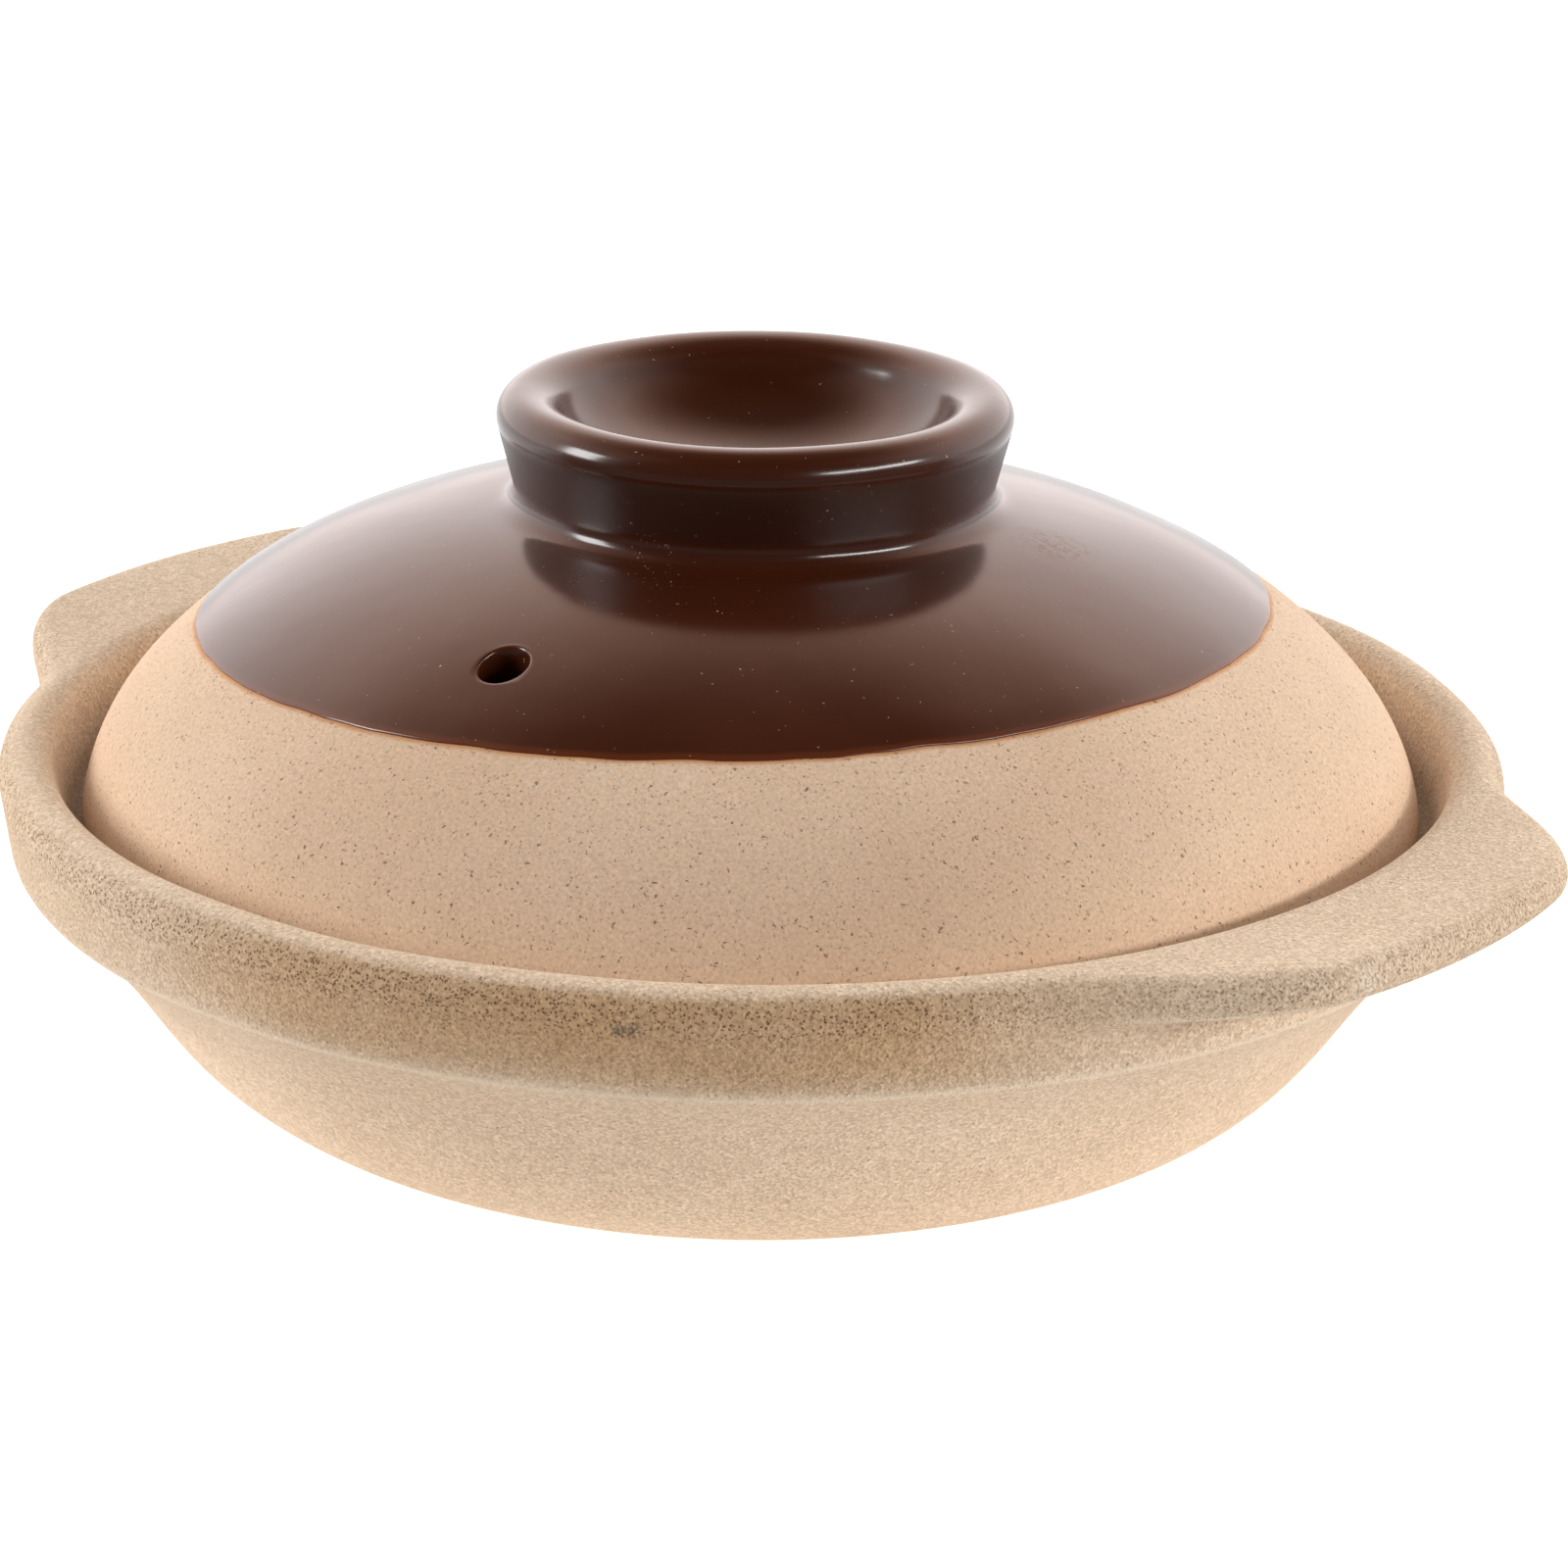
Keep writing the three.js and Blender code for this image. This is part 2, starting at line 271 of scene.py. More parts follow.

# %% [markdown]
# The band is browner in two lobes round the pot, less so lower down and under the lugs: partly the fire's
# toasting and partly painted shade on the side that faces the dim front. Iron in the clay came out as dark
# freckles under the lip; by one lug they thin out, which paints light on a patch that the lug shades. The
# crease below the band and the lower edge of each lug carry a painted highlight, a pale line where the edge
# catches light. Those places are known from the profile and the angle, so they are kept as attributes for
# the clay's material to read.

# %% Marks of the fire and painted shade on the pot
FLAMES_AND_SHADE = [(-61, 1.0), (120, 0.8)]
LIT_GAP_SPOT, LIT_GAP_WIDTH = 333, 7
degrees = np.degrees(pot_angles)
row_length = running_length(pot_line)[1:-1, None]
crease_row = np.argmin(np.hypot(*(pot_line[1:-1, :2] - CREASE).T))
past_crease = row_length - row_length[crease_row]
outside = np.arange(len(row_length))[:, None] < np.argmax(pot_line[1:-1, 1])
under_lip = RIM_HEIGHT - height
band = outside * smoothstep(past_crease, 0.5, 3) * smoothstep(under_lip, 0.3, 1.5)
flame_and_shade = np.zeros_like(pot_angles)
for side, strength in FLAMES_AND_SHADE:
    off_side = np.abs((degrees - side + 180) % 360 - 180)
    flame_and_shade = np.maximum(flame_and_shade, strength * (1 - smoothstep(off_side, 14, 42)))
# painted light: the freckles thin out by one lug, which lightens a patch of band that the lug shades
clear = np.exp(-(((degrees - LIT_GAP_SPOT) / LIT_GAP_WIDTH) ** 2))
fading_down = 1 - 0.15 * smoothstep(under_lip, 5, 13)
near_lip = 1 - 0.7 * smoothstep(under_lip, 4, 8)
# partly painted shade: the band is browned where the fire toasted it and where it faces the dim front
toast_and_shade = band * fading_down * (0.15 + 0.85 * flame_and_shade) * (1 - 0.35 * lug_share)
freckles_and_lit_gap = band * near_lip * (0.85 + 0.15 * flame_and_shade - 0.5 * clear) * (1 - 0.3 * lug_share)
print("toasted share of the band", round(toast_and_shade.sum() / (band + 0 * flame_and_shade).sum(), 2))

# %% Pot with its painted edge highlights
CREASE_LINE, LUG_LINE = 0.6, 0.7
on_nose = outside[:, 0] & (reach[:, 0] > LUG_REACH / 2) & (height[:, 0] < lip_centre[1])
lug_edge = np.argmin(np.where(on_nose, np.abs(height[:, 0] - LUG_UNDER - 0.4), np.inf))
from_lug_edge = row_length - row_length[lug_edge]
on_crease = np.exp(-((past_crease / CREASE_LINE) ** 2))
on_lug = np.exp(-((from_lug_edge / LUG_LINE) ** 2)) * smoothstep(lug_share, 0.03, 0.4)
pot_marks = {"toast_and_shade": toast_and_shade, "freckles_and_lit_gap": freckles_and_lit_gap, "painted_edge_highlight": on_crease + on_lug}
pot_marks = {name: np.append(values.ravel(), [0, 0]) for name, values in pot_marks.items()}
pot = finish_piece(
    "clay_pot", pot_points, ring_quads(pot_rings).reshape(-1, 4),
    fans(pot_rings, pot_radius.size, pot_radius.size + 1),
    "pot", "pot_body", pot_marks)

# %% [markdown]
# ## The glaze inside the pot
# Porous clay that holds broth is glazed inside. The glaze is a skin of fired glass, so it gets a
# thickness: an outer line just off the clay, an inner line a little further in, and a rounded bead where
# it ends below the ledge. The edge of poured glaze is never quite level, so its rows near the edge rise
# and fall.

# %% Coat inside the pot
COAT, COAT_GAP, COAT_BEAD = 0.45, 0.05, 0.8
BELOW_LEDGE, FAR = 2.4, 90.0
inner_side = pot_fine[pot_fine[:, 1].argmax():, :2]
glazed = (inner_side[:, 0] < LEDGE_INNER + 0.3) & (inner_side[:, 1] < LEDGE_HEIGHT - BELOW_LEDGE)
coat_rows = spaced(inner_side[glazed], spacing=2.0, turn=10)
coat_length = running_length(coat_rows)
lift = outward(coat_rows)
lift[-1] = [0, 1]
bead = COAT * np.sqrt(1 - (1 - np.clip(coat_length / COAT_BEAD, 0, 1)) ** 2)
edge_wave = 0.4 * np.sin(5 * pot_angles + 1.0) + 0.25 * np.sin(11 * pot_angles + 2.0)
edge_slide = (1 - smoothstep(coat_length, 0, 12))[:, None] * edge_wave


def off_wall(distance):
    """Grid points this far off the wall along its normal, moved along the wall near the wavy edge."""
    radius = (coat_rows[:, 0] + lift[:, 0] * distance)[:, None] + lift[:, 1:] * edge_slide
    height = (coat_rows[:, 1] + lift[:, 1] * distance)[:, None] - lift[:, :1] * edge_slide
    return thrown(round_axis(radius, height, pot_angles))


wall_side = off_wall(np.full(len(bead), COAT_GAP))[1:-1][::-1]
coat_grid = np.concatenate([wall_side, off_wall(COAT_GAP + bead)[:-1]])
floor_height = coat_rows[-1, 1] + COAT_GAP
coat_poles = [[0, 0, floor_height], [0, 0, floor_height + COAT]]
coat_points = np.concatenate([coat_grid.reshape(-1, 3), coat_poles])
coat_rings = np.arange(len(coat_points) - 2).reshape(coat_grid.shape[:2])
coat_edge = np.concatenate([coat_length[1:-1][::-1], coat_length[:-1]])[:, None] * np.ones_like(pot_angles)
coat_marks = {"from_edge": np.append(coat_edge.ravel(), [FAR, FAR])}
pot_coat = finish_piece(
    "glaze_in_pot", coat_points, ring_quads(coat_rings).reshape(-1, 4),
    fans(coat_rings, coat_rings.size, coat_rings.size + 1),
    "pot_glaze", "pot_body", coat_marks)

# %% [markdown]
# ## The lid
# The lid is a second thrown form: a dome over a hollow, and on it a ring knob with a rolled lip round a
# dish. Its profile could be drawn by hand, but named lengths for foot, neck, lip and dish can be checked
# against the real knob one by one.

# %% Profile of the lid
LID_RADIUS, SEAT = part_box("lid")[1].y / MM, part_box("lid")[0].z / MM
LID_WALL, LID_EDGE, LID_SPONGE = 6.5, 1.5, 0.8
DOME, DOME_RISE, DOME_FLAT = 48.0, ray(28, 98.2), 51.4
KNOB_FOOT, KNOB_RADIUS, KNOB_NECK, KNOB_HEIGHT = 33.6, 36.9, 36.6, 16.55
FILLET, FILLET_TOP = 4.5, [1.1, 4.2]
NECK_LINE = np.array([[0, -5.0], [0.08, -4.7], [0, -4.5]])
KNOB_LIP, DISH_LIP = np.array([3.4, 3.3]), np.array([5.0, 3.8])
DISH_DEPTH, DISH_SIDE, DISH_FLAT = 14.25, ray(7.5, 67), [16, 0]
lid_edge = np.array([LID_RADIUS, LID_EDGE])
dome = bezier([lid_edge, lid_edge + DOME_RISE, [DOME_FLAT, DOME], [0, DOME]])


def dome_point(radius):
    """The point of the dome's profile at this radius."""
    return np.array([radius, np.interp(radius, dome[::-1, 0], dome[::-1, 1])])


foot, fillet_foot = dome_point(KNOB_FOOT), dome_point(KNOB_FOOT + FILLET)
fillet = bezier([fillet_foot, foot, foot + FILLET_TOP])
crest = np.array([KNOB_RADIUS - KNOB_LIP[0], foot[1] + KNOB_HEIGHT])
inner_roll = arc(crest - [0, DISH_LIP[1]], DISH_LIP, 91, 162)
dish_floor = np.array([0, crest[1] - DISH_DEPTH])
lid_top = np.concatenate([
    dome[dome[:, 0] > fillet_foot[0]], fillet, NECK_LINE + [KNOB_NECK, crest[1]],
    arc(crest - [0, KNOB_LIP[1]], KNOB_LIP, -18, 90), inner_roll,
    bezier([inner_roll[-1], inner_roll[-1] - DISH_SIDE, dish_floor + DISH_FLAT, dish_floor])[1:],
])
lid_top = sponge(lid_top, LID_SPONGE)
hollow = dome - outward(dome) * LID_WALL
hollow[-1] = [0, DOME - LID_WALL]
hollow = hollow[hollow[:, 1] > 0][::-1]
print("lid top", round(SEAT + lid_top[:, 1].max(), 2), "mm")

# %% [markdown]
# The lid was dipped upside down and a little askew, so its glaze ends at a tilted plane. Its edge also
# creeps by parts of a millimetre, which a few fine waves give. The line is kept as a length along the
# dome for every angle, because clay and glaze both need it.

# %% The glaze line
HOLE_ANGLE = np.radians(-82)
LID_COLUMNS = 288
LINE_MIDDLE, LINE_TILT, TILT_ANGLE = 28.6, 3.05, np.radians(10)
CREEP, CREEP_WAVES = 0.2, np.arange(6, 66)
lid_angles = HOLE_ANGLE + np.linspace(-np.pi, np.pi, LID_COLUMNS, endpoint=False)
chance = np.random.default_rng(11)
creep_sizes = chance.normal(size=len(CREEP_WAVES)) * CREEP / CREEP_WAVES**0.9
creep_starts = chance.uniform(0, 2 * np.pi, len(CREEP_WAVES))
creep = (creep_sizes * np.sin(np.outer(lid_angles, CREEP_WAVES) + creep_starts)).sum(1)
line_height = LINE_MIDDLE + LINE_TILT * np.cos(lid_angles + TILT_ANGLE) + creep
top_length = running_length(lid_top)
on_dome = lid_top[:, 0] > 50
glaze_line = np.interp(line_height, lid_top[on_dome, 1], top_length[on_dome])
print("glaze line", line_height.min().round(1), "to", line_height.max().round(1), "mm above the seat")

# %% [markdown]
# The steam hole was pushed through the soft clay. A Boolean would cut it, but leaves ragged faces on a
# curved wall. Here a window is taken out of the grid, and rings that change from the window's square to
# the hole's circle lead down through the wall to a like window on the other side, so all faces stay
# quads.

# %% The steam hole
HOLE_RADIUS, HOLE_OFFSET, HOLE_CELLS = 3.5, 63.4, 5
HOLE_SHARES = [0.3, 0.6, 0.8, 1]
MIDDLE = LID_COLUMNS // 2
hole_centre = HOLE_OFFSET * np.array([np.cos(HOLE_ANGLE), np.sin(HOLE_ANGLE)])


def hole_border(rings, row, step):
    """Once round the grid's window at this row, counterclockwise from above; step is 1 if rows go inwards."""
    cells = np.arange(-HOLE_CELLS, HOLE_CELLS + 1)
    numbers = rings[row + step * cells][:, MIDDLE + cells]
    return np.concatenate([numbers[0, :-1], numbers[:-1, -1], numbers[-1, :0:-1], numbers[:0:-1, 0]])


def hole_rings(plan, size, share):
    """Plan points that go from a window's border at share 0 to the hole's circle of that size at share 1."""
    spoke = (plan - hole_centre) / np.linalg.norm(plan - hole_centre, axis=1, keepdims=True)
    share = np.asarray(share, float)[:, None, None]
    return (1 - share) * plan + share * (hole_centre + size * spoke)


def laid_on(plan, line):
    """Plan points lifted onto a dome whose profile is this line."""
    height = np.interp(np.linalg.norm(plan, axis=-1), line[::-1, 0], line[::-1, 1])
    return np.concatenate([plan, height[..., None]], -1)


def edge_rings(circle, size, bend, down):
    """A rounded hole edge: the circle shrinks by bend while it sinks (down 1) or rises (down -1)."""
    turn = np.radians([22, 45, 67, 90])[:, None, None]
    shrink = (size + bend * (1 - np.sin(turn))) / (size + bend)
    plan = hole_centre + (circle[:, :2] - hole_centre) * shrink
    height = circle[:, 2] - down * bend * (1 - np.cos(turn[..., 0]))
    return np.concatenate([plan, height[..., None]], -1)


print("steam hole at", hole_centre.round(1))

# %% [markdown]
# The rows of the clay start in the middle of the hollow, go out to the seat, where the lid rests on the
# ledge, and come back over the dome and the knob into the dish. One closed skin like this has an inside
# and an outside, as a real wall of clay does.


# %% Clay of the lid
def settle(points):
    """The dome's own unevenness, up and down by plan position, none at the seat; then onto the ledge."""
    wave = hand_made(points[:, :2], seed=5, length=38, amount=0.10) * smoothstep(points[:, 2], 8, 20)
    return points + np.stack([0 * wave, 0 * wave, SEAT + wave], -1)


BORE, BORE_BEND = 3.95, 0.5
seat_inner = LID_RADIUS - LID_WALL
under_rows = spaced(np.concatenate([hollow, [[seat_inner, 0]]]), spacing=1.5, turn=12)
seat_round = arc([LID_RADIUS - LID_EDGE, LID_EDGE], LID_EDGE, -90, 0, 20)
seat_rows = sponge(np.concatenate([[[seat_inner + 0.4, 0]], seat_round]), 0.6)
seat_rows = spaced(seat_rows, spacing=1.2, turn=15)
top_rows = spaced(lid_top, spacing=1.5, turn=12)
lid_rows = np.concatenate([under_rows[1:], seat_rows[:-1], top_rows[:-1]])
lid_points = round_axis(lid_rows[:, :1], lid_rows[:, 1:], lid_angles).reshape(-1, 3)
lid_rings = np.arange(len(lid_points)).reshape(-1, LID_COLUMNS)
first_top = len(lid_rows) - len(top_rows) + 1
hollow_at = np.argmin(np.abs(under_rows[1:, 0] - HOLE_OFFSET))
top_at = first_top + np.argmin(np.abs(top_rows[:, 0] - HOLE_OFFSET))
top_border = hole_border(lid_rings, top_at, 1)
hollow_border = hole_border(lid_rings, hollow_at, -1)
bore_edge = BORE + BORE_BEND
upper = laid_on(hole_rings(lid_points[top_border, :2], bore_edge, HOLE_SHARES), lid_top[on_dome])
lower = laid_on(hole_rings(lid_points[hollow_border, :2], bore_edge, HOLE_SHARES[::-1]), hollow[::-1])
bore = np.concatenate([
    upper, edge_rings(upper[-1], BORE, BORE_BEND, 1), edge_rings(lower[0], BORE, BORE_BEND, -1)[::-1], lower])
print("lid rows", len(lid_rows), "hole rings", bore.shape)


# %% Lid from its clay surface and bore
def pierced(points, rings, bore, top_border, hollow_border, top_at, hollow_at, poles):
    """Grid quads outside both windows, the quads down the bore and the fans at the poles, with all points."""
    quads = ring_quads(rings)
    keep = np.ones(quads.shape[:2], bool)
    for row in (top_at, hollow_at):
        keep[row - HOLE_CELLS: row + HOLE_CELLS, MIDDLE - HOLE_CELLS: MIDDLE + HOLE_CELLS] = False
    numbers = len(points) + np.arange(bore.shape[0] * bore.shape[1]).reshape(bore.shape[:2])
    down = ring_quads(np.vstack([top_border, numbers, hollow_border]))
    first = len(points) + numbers.size
    everything = np.concatenate([points, bore.reshape(-1, 3), poles])
    return everything, np.concatenate([quads[keep], down.reshape(-1, 4)]), fans(rings, first, first + 1)


lid_poles = [[0, 0, under_rows[0, 1]], [0, 0, top_rows[-1, 1]]]
lid_all, lid_quads, lid_fans = pierced(
    lid_points, lid_rings, bore, top_border, hollow_border, top_at, hollow_at, lid_poles)
below = np.full(len(lid_all), FAR)
below_rows = below[: len(lid_points)].reshape(-1, LID_COLUMNS)
below_rows[first_top:] = np.clip(glaze_line - running_length(top_rows)[:-1, None], -50, FAR)
lid = finish_piece(
    "clay_lid", settle(lid_all), lid_quads, lid_fans,
    "lid", "lid_body", {"below_glaze": below})

# %% [markdown]
# ## The glaze on the lid
# This is the coat that catches the eye: thick, glossy, with a soft raised edge. It follows the lid's
# upper side from the glaze line to the middle of the dish, half a millimetre off the clay, and runs down
# into the steam hole as a sleeve. Its rows slide with the glaze line near the edge and stand still on the
# knob, so the knob keeps its clean lines.

# %% Coat over the lid
LID_COAT_GAP, LID_BEAD, LID_BEAD_WIDTH = 0.02, 0.28, 0.45
mean_line = glaze_line.mean()
bead_rows = np.array([0, 0.03, 0.08, 0.15, 0.25, 0.38, 0.55, 0.8, 1.15, 1.6, 2.2])
crown = resample(lid_top, np.linspace(mean_line + 3, top_length[-1], 3000), top_length)
from_edge = np.concatenate([bead_rows, 3 + stations(crown, spacing=1.5, turn=9)])
slide = (1 - smoothstep(from_edge, 4, 34))[:, None] * (glaze_line - mean_line)
coat_at = np.clip(mean_line + from_edge[:, None] + slide, 0, top_length[-1])
top_normal = outward(lid_top)
clay_radius, clay_height = (np.interp(coat_at, top_length, column) for column in lid_top.T)
normal_radius, normal_height = (np.interp(coat_at, top_length, column) for column in top_normal.T)
swell = LID_BEAD * np.sqrt(1 - (1 - np.clip(from_edge / LID_BEAD_WIDTH, 0, 1)) ** 2)
swell = swell + (COAT - LID_BEAD) * smoothstep(from_edge, 0, 5)


def off_clay(distance):
    """Grid points this far off the clay along its normal, by row."""
    radius = clay_radius + normal_radius * distance[:, None]
    height = clay_height + normal_height * distance[:, None]
    return round_axis(radius, height, lid_angles)


coat_over = off_clay(LID_COAT_GAP + swell)[:-1]
coat_under = off_clay(np.full(len(from_edge), LID_COAT_GAP))[1:-1][::-1]
glaze_points = np.concatenate([coat_under, coat_over]).reshape(-1, 3)
glaze_rings = np.arange(len(glaze_points)).reshape(-1, LID_COLUMNS)
print("glaze grid", glaze_rings.shape)


# %% Glaze in the steam hole
def row_at_hole(side):
    """The row of a grid that comes closest to the middle of the steam hole."""
    return np.argmin(np.abs(np.linalg.norm(side[:, MIDDLE, :2], axis=1) - HOLE_OFFSET))


SLEEVE_DEPTH, SLEEVE_BEND = 6.0, 0.45
over_at = len(coat_under) + row_at_hole(coat_over)
under_at = row_at_hole(coat_under)
over_border = hole_border(glaze_rings, over_at, 1)
under_border = hole_border(glaze_rings, under_at, -1)
over_line = (lid_top + top_normal * (LID_COAT_GAP + COAT))[on_dome]
under_line = (lid_top + top_normal * LID_COAT_GAP)[on_dome]
over_plan, under_plan = glaze_points[over_border, :2], glaze_points[under_border, :2]
upper = laid_on(hole_rings(over_plan, HOLE_RADIUS + SLEEVE_BEND, HOLE_SHARES), over_line)
lower = laid_on(hole_rings(under_plan, BORE - 0.05, HOLE_SHARES[::-1]), under_line)
rim = edge_rings(upper[-1], HOLE_RADIUS, SLEEVE_BEND, 1)
sleeve = rim[-1] - np.array([1.0, 2.0, 3.5, SLEEVE_DEPTH])[:, None, None] * [0, 0, 1]
sleeve_back = np.concatenate([lower[0][:, :2], sleeve[-1][:, 2:]], -1)[None]
glaze_bore = np.concatenate([upper, rim, sleeve, sleeve_back, lower])
dish_height = lid_top[-1, 1] + LID_COAT_GAP
glaze_all, glaze_quads, glaze_fans = pierced(
    glaze_points, glaze_rings, glaze_bore, over_border, under_border, over_at, under_at,
    [[0, 0, dish_height], [0, 0, dish_height + COAT]])
print("glaze rings in the hole", glaze_bore.shape)

# %% [markdown]
# Glaze is thin and redder at its own edge and over the rim of the steam hole. The neck of the knob is duller
# than the rest, and its colour is darker there as painted shade. Both are known by row, so they become
# attributes like the marks on the pot.

# %% Coat on the lid with its marks
IN_HOLE, ON_HOLE_RIM = 30.0, 0.8
grid_edge = np.concatenate([from_edge[1:-1][::-1], from_edge[:-1]])[:, None] + np.zeros(LID_COLUMNS)
hole_edge = np.full(glaze_bore.shape[:2], IN_HOLE)
hole_edge[len(upper) + 1: len(upper) + 3] = ON_HOLE_RIM
rising = (lid_top[:, 0] < 45) & (np.arange(len(lid_top)) < lid_top[:, 1].argmax())
neck = np.interp([foot[1] + 3, crest[1] - 4.2], lid_top[rising, 1], top_length[rising])
along_neck = smoothstep(coat_at, neck[0], neck[0] + 1.5) * (1 - smoothstep(coat_at, neck[1] - 1, neck[1]))
dull_and_shade = np.concatenate([along_neck[1:-1][::-1], along_neck[:-1]])
glaze_marks = {"from_edge": np.concatenate([grid_edge.ravel(), hole_edge.ravel(), [FAR, FAR]]),
               "dull_and_shade": np.concatenate([dull_and_shade.ravel(), np.zeros(hole_edge.size + 2)])}
lid_coat = finish_piece(
    "glaze_on_lid", settle(glaze_all), glaze_quads, glaze_fans,
    "lid_glaze", "lid_body", glaze_marks)

# %% [markdown]
# ## Finishes
# Each finish is a small tree of nodes on Object coordinates, which are metres here, so a scale of 1000
# makes grains of about a millimetre. Writing the trees through one helper keeps them readable: it adds a
# node, sets its properties and fills its sockets with numbers, colours or links.


# %% Node helpers
def finish(name):
    """A new material with an empty node tree."""
    material = bpy.data.materials.new(name)
    material.use_nodes = True
    material.node_tree.nodes.clear()
    return material, material.node_tree


def put(tree, kind, sockets=None, **properties):
    """Adds a shader node; a socket takes a value, or a link if it is given another node's socket."""
    node = tree.nodes.new("ShaderNode" + kind)
    for key, value in properties.items():
        setattr(node, key, value)
    for key, value in (sockets or {}).items():
        if isinstance(value, bpy.types.NodeSocket):
            tree.links.new(value, node.inputs[key])
        else:
            node.inputs[key].default_value = value
    return node


def noise(tree, place, scale, detail=3.0, roughness=0.55):
    """Cloudy noise of that scale, around a half."""
    sockets = {"Vector": place, "Scale": scale, "Detail": detail, "Roughness": roughness}
    return put(tree, "TexNoise", sockets).outputs[0]


def sums(tree, operation, first, second, third=0.0):
    """One Math node."""
    return put(tree, "Math", {0: first, 1: second, 2: third}, operation=operation).outputs[0]


def times(tree, first, second):
    """The product of two values."""
    return sums(tree, "MULTIPLY", first, second)


def spread_to(tree, value, low, high, to_low=0.0, to_high=1.0):
    """A value's range from low to high stretched to another range and clamped."""
    return put(tree, "MapRange", {0: value, 1: low, 2: high, 3: to_low, 4: to_high}).outputs[0]


def blend(tree, share, first, second, mode="MIX"):
    """Two colours mixed by a share."""
    return put(tree, "Mix", {0: share, 6: first, 7: second}, data_type="RGBA", blend_type=mode).outputs[2]


def specks(tree, place, scale, size, rarity):
    """Specks near a random point of each cell, in the share of cells whose random colour is high enough.

    A fine noise bends the place first, so no speck is quite round.
    """
    bend = put(tree, "TexNoise", {"Vector": place, "Scale": 1.8 * scale, "Detail": 1.0}).outputs["Color"]
    bent = put(tree, "VectorMath", {0: bend, 1: [1.1 / scale] * 3, 2: place}, operation="MULTIPLY_ADD")
    cell = put(tree, "TexVoronoi", {"Vector": bent.outputs[0], "Scale": scale})
    random = put(tree, "SeparateColor", {0: cell.outputs["Color"]}).outputs[0]
    dot = spread_to(tree, cell.outputs["Distance"], size, size * 0.55)
    return times(tree, dot, spread_to(tree, random, rarity, rarity + 0.04))


def close_to(tree, place, spot, reach):
    """1 at a spot of the pot given in mm, falling to 0 at that reach from it."""
    away = put(tree, "VectorMath", {0: place, 1: [part * MM for part in spot]}, operation="DISTANCE")
    return spread_to(tree, away.outputs["Value"], reach * MM, 0.3 * reach * MM)


def mark(tree, name):
    """An attribute that the piece's mesh carries."""
    return put(tree, "Attribute", attribute_name=name).outputs["Fac"]


def tint(red, green, blue):
    """A colour given as it shows on a screen, 0 to 255, turned into the linear numbers that light uses."""
    shown = np.array([red, green, blue]) / 255
    return (*np.where(shown > 0.04045, ((shown + 0.055) / 1.055) ** 2.4, shown / 12.92), 1.0)


def dress(piece, material, body, rough, relief, strength, depth, specular=None, index=None):
    """Ends a finish: colour, roughness and a bump of that strength and depth in metres, put on the piece."""
    tree = material.node_tree
    bump = put(tree, "Bump", {"Strength": strength, "Distance": depth, "Height": relief})
    shader = put(tree, "BsdfPrincipled", {"Base Color": body, "Roughness": rough, "Normal": bump.outputs[0]})
    if specular is not None:
        shader.inputs["Specular IOR Level"].default_value = specular
    if index is not None:
        shader.inputs["IOR"].default_value = index
    put(tree, "OutputMaterial", {0: shader.outputs[0]})
    piece.data.materials.append(material)
    print(material.name, len(tree.nodes), "nodes")


print("node helpers ready")

# %% [markdown]
# ## Sandy clay of the pot
# The pot's clay is mixed with sand so that it stands the flame. Bare and rough, it shows grains of half a
# millimetre, light and dark, on a body that is browner on the band, partly where the fire touched it and
# partly as painted shade. A picture of clay could be wrapped on, but grains from noise and cells have no
# seam and keep their true size.

# %% Body and grains of the sandy clay
sandy, tree = finish("sandy_clay")
place = put(tree, "TexCoord").outputs["Object"]
cloud = noise(tree, place, 26, 4)
grain = noise(tree, place, 2200, 3, 0.6)
sand = put(tree, "TexVoronoi", {"Vector": place, "Scale": 2300})
patches = spread_to(tree, noise(tree, place, 34, 3), 0.25, 0.6, 0.6, 1.0)
# partly painted shade: the band's brown comes from toasting and from shade where it faces the dim front
fire_and_shade = times(tree, mark(tree, "toast_and_shade"), patches)
body = blend(tree, spread_to(tree, cloud, 0.35, 0.65), tint(229, 205, 179), tint(220, 195, 168))
body = blend(tree, fire_and_shade, body, tint(200, 162, 120))
grains = blend(tree, sand.outputs["Color"], (0.78, 0.745, 0.7, 1), (1.2, 1.22, 1.25, 1))
body = blend(tree, 1.0, body, grains, "MULTIPLY")
pits = blend(tree, spread_to(tree, grain, 0.3, 0.7), (0.86, 0.84, 0.81, 1), (1.11, 1.12, 1.13, 1))
body = blend(tree, 1.0, body, pits, "MULTIPLY")
# painted highlight: a pale line on the crease and on each lug's lower edge, where the edge catches light
body = blend(tree, times(tree, mark(tree, "painted_edge_highlight"), 0.7), body, tint(242, 222, 196))
print("clay body", len(tree.nodes), "nodes")

# %% [markdown]
# On the body lie the dark freckles of the band, which grow sparse below it, and single dark grains
# everywhere. This pot also has two spots of soot on its band and a rubbed, whitish spot by one lug. A
# distance from a point in millimetres puts each of them where it is on the real pot.

# %% Freckles, soot and rubbed spot
SOOT_SPOTS, SOOT_REACH = [(57.2, -93.6, 50.0), (58.9, -92.6, 50.0)], 1.5
RUBBED_SPOT, RUBBED_REACH = (123.4, -22.8, 53.5), 3.0
freckle = specks(tree, place, 1900, 0.44, 0.2)
